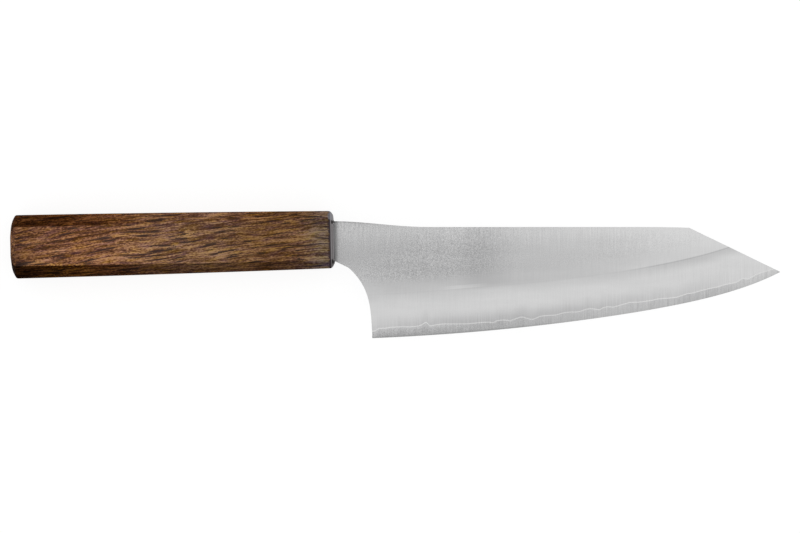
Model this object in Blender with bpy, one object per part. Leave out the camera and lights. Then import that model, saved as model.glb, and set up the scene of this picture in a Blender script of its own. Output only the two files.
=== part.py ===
"""Bunka kitchen knife: a three-layer blade with a hidden tang, set in an octagonal wooden handle.

The knife lies on its left side. X runs from the butt to the tip, Y from the cutting edge to the spine,
and Z from the left face of the blade to the right one. All lengths are in metres.

Blade coordinates start where the line of the straight spine crosses the handle's front face, on the
blade's middle plane. The last step moves the whole knife so that the origin is at the centre of its
footprint, on the surface that it lies on.
"""

import math

import bmesh
import bpy
from mathutils import Vector

# Blade, seen from the side
BLADE_LENGTH = 0.170  # heel to tip, along X
HEEL_SETBACK = 0.01603  # handle's front face to the heel
HEEL_DEPTH = 0.0463  # straight spine down to the heel
TIP_DEPTH = 0.0187  # straight spine down to the tip
CLIP_ANGLE = math.radians(25.8)  # fall of the straight cut from the spine to the tip
SPINE_DIP = 0.0003  # the spine falls by this much just before its corner with that cut
SPINE_DIP_RUN = 0.0200
HEEL_SLOPE = math.radians(2.26)  # rise of the cutting edge where it leaves the heel
TIP_SWEEP = 0.0056  # extra rise of the edge in the last stretch before the tip
TIP_SWEEP_POWER = 9
BEVEL_WIDTH = 0.0181  # cutting edge up to the ridge where the ground bevel starts, at the heel
HAIR_BEVEL = 0.0005  # height of the small final bevel that makes the edge sharp

# Neck between the blade and the handle
NECK_RISE = 0.0024  # top of the neck above the straight spine, at the handle
NECK_RUN = 0.0392  # length over which the spine falls to its straight part
NECK_HEIGHT = 0.01647
SHOULDER_GAP = 0.0003  # handle's front face to the shoulders of the blade
NECK_SLOPE = math.radians(25.5)  # the neck's underside falls straight at this angle
NECK_UNDERSIDE = 0.00678  # length of that straight, from the shoulder to the corner where the choil starts
CHOIL_START_PULL = 0.0120  # how far the choil's curve keeps its first direction
CHOIL_START_ANGLE = math.radians(42.7)
CHOIL_HEEL_PULL = 0.0136  # how far the curve keeps its last direction, above the heel
CHOIL_HEEL_LEAN = math.radians(2.3)

# Blade thickness
HANDLE_THICKNESS = 0.0026  # spine at the handle
TIP_THICKNESS = 0.0012  # the flats' taper carried on to the tip
FLAT_TAPER = math.radians(0.35)  # each face leans in by this much from spine to ridge
CORE_THICKNESS = 0.00056  # hard steel in the middle
EDGE_THICKNESS = 0.00022  # behind the final bevel
HOLLOW = 0.00003  # the ground bevel dips by this much halfway up

# How far the ridge rises over the bevel's width: (distance from the heel, rise)
RIDGE_RISE = ((0.0, 0.0), (0.050, 0.0003), (0.100, -0.0003), (0.125, 0.0), (0.140, 0.0003), (0.148, 0.0006))

# The weld line where the core comes out of the outer layers: (distance from the heel, height above the edge)
WELD_LINE = (
    (0.0000, 0.00270), (0.0012, 0.00280), (0.0028, 0.00380), (0.0053, 0.00370), (0.0074, 0.00400),
    (0.0116, 0.00400), (0.0157, 0.00380), (0.0191, 0.00390), (0.0203, 0.00420), (0.0218, 0.00510),
    (0.0224, 0.00525), (0.0230, 0.00500), (0.0238, 0.00380), (0.0245, 0.00365), (0.0260, 0.00395),
    (0.0295, 0.00415), (0.0332, 0.00385), (0.0395, 0.00340), (0.0461, 0.00345), (0.0486, 0.00335),
    (0.0499, 0.00290), (0.0507, 0.00300), (0.0517, 0.00360), (0.0540, 0.00370), (0.0565, 0.00335),
    (0.0574, 0.00285), (0.0582, 0.00330), (0.0605, 0.00385), (0.0615, 0.00415), (0.0628, 0.00405),
    (0.0653, 0.00295), (0.0670, 0.00265), (0.0678, 0.00290), (0.0699, 0.00360), (0.0719, 0.00360),
    (0.0765, 0.00335), (0.0795, 0.00385), (0.0820, 0.00390), (0.0849, 0.00355), (0.0865, 0.00355),
    (0.0890, 0.00415), (0.0903, 0.00420), (0.0923, 0.00385), (0.0944, 0.00310), (0.0961, 0.00375),
    (0.0980, 0.00395), (0.1003, 0.00340), (0.1036, 0.00385), (0.1073, 0.00430), (0.1115, 0.00375),
    (0.1165, 0.00360), (0.1186, 0.00375), (0.1228, 0.00330), (0.1269, 0.00295), (0.1315, 0.00355),
    (0.1332, 0.00330), (0.1365, 0.00350), (0.1407, 0.00350), (0.1440, 0.00325), (0.1465, 0.00340),
    (0.1511, 0.00295), (0.1523, 0.00305), (0.1542, 0.00370), (0.1563, 0.00260), (0.1573, 0.00265),
    (0.1598, 0.00320), (0.1617, 0.00325), (0.1656, 0.00260), (0.1680, 0.00240),
)

# Tang inside the handle
TANG_LENGTH = 0.0950
SHOULDER_STEP = 0.0016  # the neck narrows by this much on each side where the tang starts
TANG_END_HEIGHT = 0.0080
TANG_END_THICKNESS = 0.0018

# Handle
HANDLE_LENGTH = 0.13437
HANDLE_LIFT = 0.00057  # middle of the neck up to the centre of the handle's front face
HANDLE_TILT = math.radians(1.32)  # the handle falls away from the blade's line
FRONT_HEIGHT = 0.0238
BUTT_HEIGHT = 0.0264
SWELL = 0.0002  # the top and the bottom bulge by this much halfway along
FRONT_WIDTH = 0.0190
BUTT_WIDTH = 0.0205
FRONT_FACET = 0.0032  # each slanting facet takes this much off the height and off the width
BUTT_FACET = 0.0050
FRONT_DOME = 0.0014  # how far the end's rim lies behind its middle
BUTT_DOME = 0.0026
FRONT_CAP = 0.72  # share of the end that stays flat
BUTT_CAP = 0.20
DOME_POWER = 3.0
ARRIS_RADIUS = 0.0005  # rounding of the handle's sharp edges
ARRIS_ANGLE = math.radians(35.0)  # edges sharper than this are rounded

# Resin that fixes the tang
SLOT_ROOM = 0.0012  # around the tang, at the slot's sides
SLOT_EXTRA = 0.0030  # depth of the slot past the end of the tang
RESIN_RECESS = 0.0003  # handle's front face to the resin
BOND_GAP = 0.0003  # clearance on each side of the resin

# Fineness of the curves
STATIONS = 171
BEVEL_ROWS = 3
CHOIL_POINTS = 20
UNDERSIDE_SHARE = 0.25  # share of those points that lie on the neck's straight underside
NECK_POINTS = 10
DIP_POINTS = 4
DOME_RINGS = 5
SWELL_STEPS = 5
ARRIS_SEGMENTS = 2
MERGE_DISTANCE = 1e-7

# Sizes that follow from the others
TIP_X = HEEL_SETBACK + BLADE_LENGTH
HANDLE_DROP = NECK_HEIGHT / 2.0 - NECK_RISE - HANDLE_LIFT  # straight spine to the handle's centre
TANG_HEIGHT = NECK_HEIGHT - 2.0 * SHOULDER_STEP
SLOT_DEPTH = TANG_LENGTH + SLOT_EXTRA


def smooth_step(share):
    share = min(max(share, 0.0), 1.0)
    return share * share * (3.0 - 2.0 * share)


def between(low, high, share):
    return low + (high - low) * share


def solve(function, low, high, steps=50):
    """The place between low and high where the function changes sign."""
    start = function(low)
    for _ in range(steps):
        middle = (low + high) / 2.0
        if (function(middle) > 0.0) == (start > 0.0):
            low = middle
        else:
            high = middle
    return (low + high) / 2.0


def edge_height(distance):
    """Y of the cutting edge, at this distance from the heel."""
    share = distance / BLADE_LENGTH
    start = math.tan(HEEL_SLOPE) * BLADE_LENGTH
    belly = HEEL_DEPTH - TIP_DEPTH - start - TIP_SWEEP
    return -HEEL_DEPTH + start * share + belly * share**2 + TIP_SWEEP * share**TIP_SWEEP_POWER


def along(points, distance):
    """The value at this distance on the straight lines that join (distance, value) points."""
    for (x0, value0), (x1, value1) in zip(points, points[1:]):
        if distance < x1:
            return between(value0, value1, max((distance - x0) / (x1 - x0), 0.0))
    return points[-1][1]


def weld_height(distance):
    """Height of the weld line above the edge, at this distance from the heel."""
    return along(WELD_LINE, distance)


def ridge_height(distance):
    """Height of the ridge above the edge, at this distance from the heel."""
    return BEVEL_WIDTH + along(RIDGE_RISE, distance)


def spine_height(x):
    """Y of the spine between the handle and its straight part."""
    return NECK_RISE * (1.0 - smooth_step(x / NECK_RUN))


def clip_height(x):
    """Y of the straight cut that runs from the spine down to the tip."""
    return -TIP_DEPTH + (TIP_X - x) * math.tan(CLIP_ANGLE)


def choil_point(share):
    """A point of the outline from the shoulder (share 0) down to the heel (share 1): the neck's straight
    underside, then the choil, a cubic Bezier."""
    shoulder = Vector((SHOULDER_GAP, NECK_RISE - NECK_HEIGHT))
    start = shoulder + NECK_UNDERSIDE * Vector((math.cos(NECK_SLOPE), -math.sin(NECK_SLOPE)))
    if share < UNDERSIDE_SHARE:
        return shoulder.lerp(start, share / UNDERSIDE_SHARE)
    end = Vector((HEEL_SETBACK, -HEEL_DEPTH))
    first = start + CHOIL_START_PULL * Vector((math.cos(CHOIL_START_ANGLE), -math.sin(CHOIL_START_ANGLE)))
    last = end + CHOIL_HEEL_PULL * Vector((-math.sin(CHOIL_HEEL_LEAN), math.cos(CHOIL_HEEL_LEAN)))
    share = (share - UNDERSIDE_SHARE) / (1.0 - UNDERSIDE_SHARE)
    rest = 1.0 - share
    return rest**3 * start + 3 * rest**2 * share * first + 3 * rest * share**2 * last + share**3 * end


def choil_share(y):
    """Where that outline passes this height."""
    return solve(lambda share: choil_point(share).y - y, 0.0, 1.0)


def face_height(x, y):
    """Half the thickness between the two flat faces: a wedge that thins from the handle both ways."""
    half = HANDLE_THICKNESS / 2.0 + math.tan(FLAT_TAPER) * y
    if x < SHOULDER_GAP:
        fall = (HANDLE_THICKNESS - TANG_END_THICKNESS) / 2.0 / TANG_LENGTH
        return half - fall * (SHOULDER_GAP - x)
    fall = (HANDLE_THICKNESS - TIP_THICKNESS) / 2.0 / (TIP_X - SHOULDER_GAP)
    return half - fall * (x - SHOULDER_GAP)


def blade_row(height):
    """Points at a given height above the cutting edge, from the choil to the clip."""

    def point(distance):
        return Vector((HEEL_SETBACK + distance, edge_height(distance) + height(distance)))

    def past_choil(distance):
        place = point(distance)
        return place.x - choil_point(choil_share(place.y)).x

    def past_clip(distance):
        place = point(distance)
        return place.y - clip_height(place.x)

    start = solve(past_choil, -HEEL_SETBACK, HEEL_SETBACK)
    end = solve(past_clip, BLADE_LENGTH / 2.0, BLADE_LENGTH * 1.01)
    return [point(between(start, end, i / (STATIONS - 1))) for i in range(STATIONS)]


def tang_place(depth, side):
    """A point of the tang's upper (side 1) or lower (side -1) outline, this deep in the handle."""
    height = between(TANG_HEIGHT, TANG_END_HEIGHT, depth / TANG_LENGTH)
    across = side * height / 2.0
    return Vector((
        -depth * math.cos(HANDLE_TILT) - across * math.sin(HANDLE_TILT),
        -HANDLE_DROP - depth * math.sin(HANDLE_TILT) + across * math.cos(HANDLE_TILT),
    ))


def tang_root(side):
    """The corner where the tang's outline meets the blade's shoulders."""
    near, far = tang_place(0.0, side), tang_place(TANG_LENGTH, side)
    slope = (near.y - far.y) / (near.x - far.x)
    return Vector((SHOULDER_GAP, near.y + slope * (SHOULDER_GAP - near.x)))


def outline_above(row):
    """The outline of the blade from a row's end round by the clip and spine to the tang's upper root,
    then the tang, then from its lower root by the choil back to the row's start."""
    corner_x = TIP_X - (TIP_DEPTH - SPINE_DIP) / math.tan(CLIP_ANGLE)
    spine = []
    for i in range(DIP_POINTS + 1):
        share = i / DIP_POINTS
        spine.append(Vector((corner_x - SPINE_DIP_RUN * share, -SPINE_DIP * (1.0 - share)**2)))
    for i in range(NECK_POINTS + 1):
        x = between(NECK_RUN, SHOULDER_GAP, i / NECK_POINTS)
        spine.append(Vector((x, spine_height(x))))
    tang = [tang_place(TANG_LENGTH, 1), tang_place(TANG_LENGTH, -1)]
    last = choil_share(row[0].y)
    choil = [choil_point(last * i / CHOIL_POINTS) for i in range(CHOIL_POINTS)]
    return spine + [tang_root(1)], tang, [tang_root(-1)] + choil


def add_row(bm, row, level):
    """Vertices along a row of the blade. The level is a height, or a function of a vertex's place in it."""
    level_at = level if callable(level) else (lambda i: level)
    return [bm.verts.new((p.x, p.y, level_at(i))) for i, p in enumerate(row)]


def join_rows(bm, lower, upper):
    for a, b, c, d in zip(lower, lower[1:], upper[1:], upper):
        bm.faces.new((a, b, c, d))


def drop_rim(bm, floor):
    """Pulls the open rim straight down to the floor, which closes it where the rim is there already."""
    rim = [edge for edge in bm.edges if edge.is_boundary]
    made = bmesh.ops.extrude_edge_only(bm, edges=rim)["geom"]
    for vert in (item for item in made if isinstance(item, bmesh.types.BMVert)):
        vert.co.z = floor
    bmesh.ops.remove_doubles(bm, verts=bm.verts, dist=MERGE_DISTANCE)


def cladding_mesh():
    """The right-hand outer layer: a flat face, a ground bevel that feathers out at the weld line, and a
    back that lies on the core."""
    bm = bmesh.new()
    core = CORE_THICKNESS / 2.0
    ridge = blade_row(ridge_height)
    lower = add_row(bm, blade_row(weld_height), core)
    for k in range(1, BEVEL_ROWS + 1):
        share = k / BEVEL_ROWS
        row = blade_row(lambda d: between(weld_height(d), ridge_height(d), share))
        dip = HOLLOW * 4.0 * share * (1.0 - share)

        def level(i):
            return between(core, face_height(ridge[i].x, ridge[i].y), share) - dip

        upper = add_row(bm, row, level)
        join_rows(bm, lower, upper)
        lower = upper
    spine, tang, choil = (
        [bm.verts.new((p.x, p.y, face_height(p.x, p.y))) for p in part] for part in outline_above(ridge)
    )
    bm.faces.new(lower + spine + choil)
    bm.faces.new([spine[-1]] + tang + [choil[0]])
    drop_rim(bm, core)
    bmesh.ops.edgeloop_fill(bm, edges=[edge for edge in bm.edges if edge.is_boundary])
    return bm


def core_mesh():
    """One half of the middle layer, open at the blade's middle plane: a sheet that is ground to the
    cutting edge below the weld line."""
    bm = bmesh.new()
    weld = blade_row(weld_height)
    edge = add_row(bm, blade_row(lambda d: 0.0), 0.0)
    shoulder = add_row(bm, blade_row(lambda d: HAIR_BEVEL), EDGE_THICKNESS / 2.0)
    top = add_row(bm, weld, CORE_THICKNESS / 2.0)
    join_rows(bm, edge, shoulder)
    join_rows(bm, shoulder, top)
    spine, tang, choil = (
        [bm.verts.new((p.x, p.y, CORE_THICKNESS / 2.0)) for p in part] for part in outline_above(weld)
    )
    bm.faces.new(top + spine + tang + choil)
    drop_rim(bm, 0.0)
    return bm


def octagon(depth, size):
    """Corners of the handle's section at this depth behind its front face. Size 1 is the full section."""
    share = depth / HANDLE_LENGTH
    half_height = between(FRONT_HEIGHT, BUTT_HEIGHT, share) / 2.0 + SWELL * 4.0 * share * (1.0 - share)
    half_width = between(FRONT_WIDTH, BUTT_WIDTH, share) / 2.0
    facet = between(FRONT_FACET, BUTT_FACET, share)
    side, top = (half_height - facet, half_width), (half_height, half_width - facet)
    corners = []
    for y_side, z_side in ((1, 1), (1, -1), (-1, -1), (-1, 1)):
        pair = (side, top) if y_side == z_side else (top, side)
        corners += [Vector((-depth, size * y_side * y, size * z_side * z)) for y, z in pair]
    return corners


def box_section(depth, height, width):
    corners = ((1, 1), (-1, 1), (-1, -1), (1, -1))
    return [Vector((-depth, y * height / 2.0, z * width / 2.0)) for y, z in corners]


def loft(sections):
    """A closed solid that starts as the first section's face and is extruded on through the others."""
    bm = bmesh.new()
    corners = [bm.verts.new(p) for p in sections[0]]
    face = bm.faces.new(corners)
    for section in sections[1:]:
        made = bmesh.ops.extrude_discrete_faces(bm, faces=[face])["faces"]
        face = made[0]
        for vert, place in zip(face.verts, section):
            vert.co = place
    bm.faces.new(corners[::-1])
    return bm


def handle_mesh():
    """Eight tapering and slightly swelling facets between two gently domed ends."""
    sizes = [i / DOME_RINGS for i in range(DOME_RINGS + 1)]
    front = [octagon(FRONT_DOME * s**DOME_POWER, between(FRONT_CAP, 1.0, s)) for s in sizes]
    middle = [octagon(HANDLE_LENGTH * i / SWELL_STEPS, 1.0) for i in range(1, SWELL_STEPS)]
    butt = [octagon(HANDLE_LENGTH - BUTT_DOME * s**DOME_POWER, between(BUTT_CAP, 1.0, s)) for s in sizes]
    return loft(front + middle + butt[::-1])


def tang_room(clearance, front, back):
    """A tapering bar along the tang that clears it by this much all round, from front to back depth."""
    sections = []
    for depth in (front, back):
        share = depth / TANG_LENGTH
        sections.append(box_section(
            depth,
            between(TANG_HEIGHT, TANG_END_HEIGHT, share) + 2.0 * clearance,
            between(HANDLE_THICKNESS, TANG_END_THICKNESS, share) + 2.0 * clearance,
        ))
    return loft(sections)


def steel(name, colour, roughness):
    material = bpy.data.materials.new(name)
    material.use_nodes = True
    shader = material.node_tree.nodes["Principled BSDF"]
    shader.inputs["Base Color"].default_value = (*colour, 1.0)
    shader.inputs["Metallic"].default_value = 1.0
    shader.inputs["Roughness"].default_value = roughness
    return material


def non_metal(name, colour, roughness):
    material = steel(name, colour, roughness)
    material.node_tree.nodes["Principled BSDF"].inputs["Metallic"].default_value = 0.0
    return material


def add_object(name, bm, material, parent):
    bmesh.ops.recalc_face_normals(bm, faces=bm.faces)
    mesh = bpy.data.meshes.new(name)
    bm.to_mesh(mesh)
    bm.free()
    piece = bpy.data.objects.new(name, mesh)
    bpy.context.scene.collection.objects.link(piece)
    piece.parent = parent
    if material:
        mesh.materials.append(material)
    return piece


def add_empty(name, parent=None):
    empty = bpy.data.objects.new(name, None)
    bpy.context.scene.collection.objects.link(empty)
    empty.parent = parent
    return empty


def add_cutter(name, bm, target):
    """Cuts a helper shape out of the target and leaves the helper out of the render."""
    cutter = add_object(name, bm, None, target.parent)
    cutter.hide_render = True
    cutter.display_type = "WIRE"
    cut = target.modifiers.new(name, "BOOLEAN")
    cut.operation = "DIFFERENCE"
    cut.solver = "EXACT"
    cut.object = cutter


def build_blade(parent):
    core = add_object("core_steel", core_mesh(), steel("hard_core_steel", (0.47, 0.48, 0.49), 0.38), parent)
    mirror = core.modifiers.new("both_sides", "MIRROR")
    mirror.use_axis = (False, False, True)
    mirror.merge_threshold = MERGE_DISTANCE
    cladding_steel = steel("stainless_cladding", (0.60, 0.61, 0.62), 0.34)
    right = cladding_mesh()
    left = right.copy()
    bmesh.ops.scale(left, vec=(1.0, 1.0, -1.0), verts=left.verts)
    add_object("cladding_right", right, cladding_steel, parent)
    add_object("cladding_left", left, cladding_steel, parent)


def build_handle(parent):
    wood = non_metal("brown_oak", (0.165, 0.087, 0.044), 0.55)
    handle = add_object("handle", handle_mesh(), wood, parent)
    rounding = handle.modifiers.new("arrises", "BEVEL")
    rounding.width = ARRIS_RADIUS
    rounding.segments = ARRIS_SEGMENTS
    rounding.limit_method = "ANGLE"
    rounding.angle_limit = ARRIS_ANGLE
    add_cutter("slot_cutter", tang_room(SLOT_ROOM, -FRONT_DOME, SLOT_DEPTH), handle)
    black_resin = non_metal("black_resin", (0.02, 0.02, 0.02), 0.35)
    filling = tang_room(SLOT_ROOM - BOND_GAP, RESIN_RECESS, SLOT_DEPTH - BOND_GAP)
    resin = add_object("tang_resin", filling, black_resin, parent)
    add_cutter("tang_cutter", tang_room(BOND_GAP, -FRONT_DOME, TANG_LENGTH + BOND_GAP), resin)


def lay_down(knife):
    """Moves the knife so that the origin is under the centre of its footprint."""
    bpy.context.view_layer.update()
    graph = bpy.context.evaluated_depsgraph_get()
    corners = []
    for piece in bpy.context.scene.objects:
        if piece.type == "MESH" and not piece.hide_render:
            mesh = piece.evaluated_get(graph).to_mesh()
            corners += [piece.matrix_world @ vert.co for vert in mesh.vertices]
    low = Vector(min(corner[axis] for corner in corners) for axis in range(3))
    high = Vector(max(corner[axis] for corner in corners) for axis in range(3))
    knife.location = (-(low.x + high.x) / 2.0, -(low.y + high.y) / 2.0, -low.z)


def main():
    for old in list(bpy.data.objects):
        bpy.data.objects.remove(old)
    knife = add_empty("knife")
    build_blade(knife)
    handle_axis = add_empty("handle_axis", knife)
    handle_axis.location = (0.0, -HANDLE_DROP, 0.0)
    handle_axis.rotation_euler = (0.0, 0.0, HANDLE_TILT)
    build_handle(handle_axis)
    lay_down(knife)


main()
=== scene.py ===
# %% [markdown]
# # A bunka knife
#
# A bunka is a kitchen knife with a tall blade whose spine is cut off in a straight slant down to a low
# point. The blade is forge-welded from three layers of steel: a hard core that takes the edge, between two
# softer stainless layers. A tang at its back end is glued into a slot in an octagonal handle of dark,
# open-pored oak.
#
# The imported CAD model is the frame. It says how large each piece is and where it lies. The pieces made below
# stand for its nodes, with finer shapes and with the finishes that the real materials have.

# %% Load the frame
import math

import bmesh
import bpy
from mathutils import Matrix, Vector


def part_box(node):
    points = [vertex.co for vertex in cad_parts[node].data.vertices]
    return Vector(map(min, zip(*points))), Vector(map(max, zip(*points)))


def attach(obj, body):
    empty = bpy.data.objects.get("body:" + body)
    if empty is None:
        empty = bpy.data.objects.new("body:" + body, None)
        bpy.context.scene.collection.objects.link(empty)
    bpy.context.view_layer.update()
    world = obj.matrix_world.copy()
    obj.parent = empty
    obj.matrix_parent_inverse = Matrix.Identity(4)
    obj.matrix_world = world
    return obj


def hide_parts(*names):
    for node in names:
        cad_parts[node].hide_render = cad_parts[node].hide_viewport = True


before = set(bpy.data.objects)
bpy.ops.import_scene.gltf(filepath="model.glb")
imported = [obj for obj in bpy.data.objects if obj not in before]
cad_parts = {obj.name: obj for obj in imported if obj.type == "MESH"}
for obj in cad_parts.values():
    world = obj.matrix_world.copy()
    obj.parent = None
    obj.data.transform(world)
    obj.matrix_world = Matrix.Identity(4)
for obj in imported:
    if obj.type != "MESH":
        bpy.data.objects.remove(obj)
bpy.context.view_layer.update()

MM_PER_M = 1000.0

for name in sorted(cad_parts):
    low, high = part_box(name)
    print(name, "measures", [round(MM_PER_M * size, 1) for size in high - low], "mm")

# %% [markdown]
# ## Where the blade starts
#
# The knife lies on its left side. X runs from the butt to the tip, Y from the cutting edge to the spine, and
# Z out of the blade's right face. A blade is drawn from its straight spine, so it gets an origin of its own:
# the point where the line of the spine meets the handle's front face, on the blade's middle plane. The
# core's box gives that point, because the core reaches from the edge's lowest point at the heel to the very
# tip.

# %% Length of the blade and its origin
BLADE_LENGTH = 0.170
HEEL_SETBACK = 0.01603
HEEL_DEPTH = 0.0463
TIP_X = HEEL_SETBACK + BLADE_LENGTH

core_low, core_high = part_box("core_steel")
CORE_HALF = (core_high.z - core_low.z) / 2.0
ORIGIN = Vector((core_high.x - TIP_X, core_low.y + HEEL_DEPTH, core_low.z + CORE_HALF))
print("the blade's origin is at", [round(MM_PER_M * place, 2) for place in ORIGIN], "mm")

# %% [markdown]
# ## Camera
#
# The photograph looks square down onto the blade, as a catalogue picture does. The camera stands far above
# and has a long lens, so the handle, which is nearer to it than the blade, doesn't look larger than it is.

# %% Camera above the blade
PICTURE_WIDTH, PICTURE_HEIGHT = 800, 533
HANDLE_FACE_PX, SPINE_PX = 333.8, 227.0
BLADE_PX = 408.2
METRES_PER_PX = BLADE_LENGTH / BLADE_PX
CAMERA_HEIGHT = 1.5
SENSOR_WIDTH = 36.0

camera_data = bpy.data.cameras.new("camera")
camera_data.sensor_width = SENSOR_WIDTH
camera_data.lens = SENSOR_WIDTH * CAMERA_HEIGHT / (PICTURE_WIDTH * METRES_PER_PX)
camera = bpy.data.objects.new("camera", camera_data)
bpy.context.scene.collection.objects.link(camera)
camera.location = ORIGIN + Vector((
    (PICTURE_WIDTH / 2 - HANDLE_FACE_PX) * METRES_PER_PX,
    (SPINE_PX - PICTURE_HEIGHT / 2) * METRES_PER_PX,
    CAMERA_HEIGHT,
))
bpy.context.scene.camera = camera
print("lens of", round(camera_data.lens, 1), "mm")

# %% [markdown]
# ## Helpers for modelling
#
# In edit mode an operator acts on all that is selected, so most steps are "select these, then do that". The
# helpers below start on one piece alone, select parts of it by a test of place or normal, and finish it: it
# is shaded, given its material, hung on its body and put in place of its CAD node.

# %% Helpers for modelling
SMOOTH_BELOW = math.radians(30.0)
SAME_PLACE = 0.00001
MERGE_DISTANCE = 0.000001


def select_alone(piece):
    """Selects one piece and makes it the active one."""
    bpy.ops.object.select_all(action="DESELECT")
    piece.select_set(True)
    bpy.context.view_layer.objects.active = piece


def open_piece(piece):
    """Goes into edit mode on one piece, with all of it selected."""
    select_alone(piece)
    bpy.ops.object.mode_set(mode="EDIT")
    bpy.ops.mesh.select_all(action="SELECT")


def pick(kind, test):
    """Selects the VERT, EDGE or FACE items of the piece in edit mode that pass the test."""
    bpy.ops.mesh.select_mode(type=kind)
    bpy.ops.mesh.select_all(action="DESELECT")
    bm = bmesh.from_edit_mesh(bpy.context.object.data)
    bm.normal_update()
    items = {"VERT": bm.verts, "EDGE": bm.edges, "FACE": bm.faces}[kind]
    chosen = [item for item in items if test(item)]
    for item in chosen:
        item.select_set(True)
    bm.select_flush_mode()
    bmesh.update_edit_mesh(bpy.context.object.data)
    return len(chosen)


def finish_piece(piece, name, material, node, smooth_below=SMOOTH_BELOW):
    """Names, shades and dresses a piece, and lets it ride on the knife and stand for its CAD node."""
    select_alone(piece)
    piece.name = name
    bpy.ops.object.transform_apply(location=True, rotation=True, scale=True)
    bpy.ops.object.shade_smooth_by_angle(angle=smooth_below)
    piece.data.materials.clear()
    piece.data.materials.append(material)
    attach(piece, "root")
    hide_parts(node)
    print(name, "has", len(piece.data.polygons), "faces")


def between(low, high, share):
    return low + (high - low) * share


def smooth_step(share):
    share = min(max(share, 0.0), 1.0)
    return share * share * (3.0 - 2.0 * share)


def solve(function, low, high, steps=50):
    """The place between low and high where the function changes sign."""
    start = function(low)
    for _ in range(steps):
        middle = (low + high) / 2.0
        if (function(middle) > 0.0) == (start > 0.0):
            low = middle
        else:
            high = middle
    return (low + high) / 2.0


# %% [markdown]
# ## Helpers for materials
#
# A colour picked from a chart is an sRGB hex value, but a shader reckons in linear light, so one function
# turns the first into the second. Another adds a node with its settings and links. It hands back an output,
# which can go straight into the next node.

# %% Helpers for materials
def linear(hex_colour):
    """An sRGB colour such as 8a6a4c as the linear red, green, blue and alpha that a shader wants. The numbers
    in it are those of the sRGB standard."""
    shares = [int(hex_colour[i:i + 2], 16) / 255.0 for i in (0, 2, 4)]
    return [s / 12.92 if s <= 0.04045 else ((s + 0.055) / 1.055) ** 2.4 for s in shares] + [1.0]


def add_node(material, kind, inputs=None, stops=None, out=None, **settings):
    """Adds a node, whose kind is its type without ShaderNode, and returns the output named out or else its
    first one in use. The inputs map a socket's name or number to a value or to another node's output. The
    stops are (place, hex colour) pairs of a colour ramp."""
    node = material.node_tree.nodes.new("ShaderNode" + kind)
    for name, value in settings.items():
        setattr(node, name, value)
    for socket, value in (inputs or {}).items():
        if isinstance(value, bpy.types.NodeSocket):
            material.node_tree.links.new(value, node.inputs[socket])
        else:
            node.inputs[socket].default_value = value
    if stops:
        ramp = node.color_ramp.elements
        while len(ramp) < len(stops):
            ramp.new(1.0)
        for element, (place, colour) in zip(ramp, stops):
            element.position = place
            element.color = linear(colour)
    if out:
        return node.outputs[out]
    return next((output for output in node.outputs if output.enabled), None)


def new_material(name):
    material = bpy.data.materials.new(name)
    material.use_nodes = True
    material.node_tree.nodes.clear()
    return material


# %% [markdown]
# ## The outline of the blade
#
# Five lines make up the side view of a bunka: an almost straight edge that sweeps up to the tip, a spine
# that is straight but for its rise to the neck, the slanting cut from the spine to the tip, the neck's
# straight underside with the hollow curve of the choil after it, and the shoulders that stop against the
# handle. Each is a formula here, so the pieces can be as fine as they need to be and still agree with the
# CAD model.

# %% Lines of the side view
TIP_DEPTH = 0.0187
CLIP_ANGLE = math.radians(25.8)
SPINE_DIP, SPINE_DIP_RUN = 0.0003, 0.020
HEEL_RISE = math.tan(math.radians(2.26)) * BLADE_LENGTH
TIP_SWEEP, TIP_SWEEP_POWER = 0.0056, 9
NECK_RISE, NECK_RUN, NECK_HEIGHT = 0.0024, 0.0392, 0.01647
SHOULDER_GAP = 0.0001
NECK_SLOPE, NECK_UNDERSIDE, UNDERSIDE_SHARE = math.radians(25.5), 0.00678, 0.25
CORNER_X = TIP_X - (TIP_DEPTH - SPINE_DIP) / math.tan(CLIP_ANGLE)
CHOIL_START_PULL = Vector((0.0088, -0.0081))
CHOIL_END_PULL = Vector((-0.0005, 0.0136))


def edge_height(distance):
    """Y of the cutting edge, at this distance from the heel."""
    share = distance / BLADE_LENGTH
    belly = HEEL_DEPTH - TIP_DEPTH - HEEL_RISE - TIP_SWEEP
    return -HEEL_DEPTH + HEEL_RISE * share + belly * share**2 + TIP_SWEEP * share**TIP_SWEEP_POWER


def neck_height(x):
    """Y of the top of the neck, which falls to the straight spine."""
    return NECK_RISE * (1.0 - smooth_step(x / NECK_RUN))


def spine_point(share):
    """A point of the spine, from the shoulder (share 0) to its corner with the slanting cut (share 1)."""
    x = between(SHOULDER_GAP, CORNER_X, share)
    dip = SPINE_DIP * max(1.0 - (CORNER_X - x) / SPINE_DIP_RUN, 0.0)**2
    return Vector((x, neck_height(x) - dip))


def choil_point(share):
    """A point of the outline from the shoulder (share 0) along the neck's underside and down to the heel."""
    shoulder = Vector((SHOULDER_GAP, NECK_RISE - NECK_HEIGHT))
    end = Vector((HEEL_SETBACK, -HEEL_DEPTH))
    start = shoulder + NECK_UNDERSIDE * Vector((math.cos(NECK_SLOPE), -math.sin(NECK_SLOPE)))
    if share < UNDERSIDE_SHARE:
        return shoulder.lerp(start, share / UNDERSIDE_SHARE)
    first = start + CHOIL_START_PULL
    last = end + CHOIL_END_PULL
    share = (share - UNDERSIDE_SHARE) / (1.0 - UNDERSIDE_SHARE)
    rest = 1.0 - share
    return rest**3 * start + 3 * rest**2 * share * first + 3 * rest * share**2 * last + share**3 * end


def choil_share(y):
    return solve(lambda share: choil_point(share).y - y, 0.0, 1.0)


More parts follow.
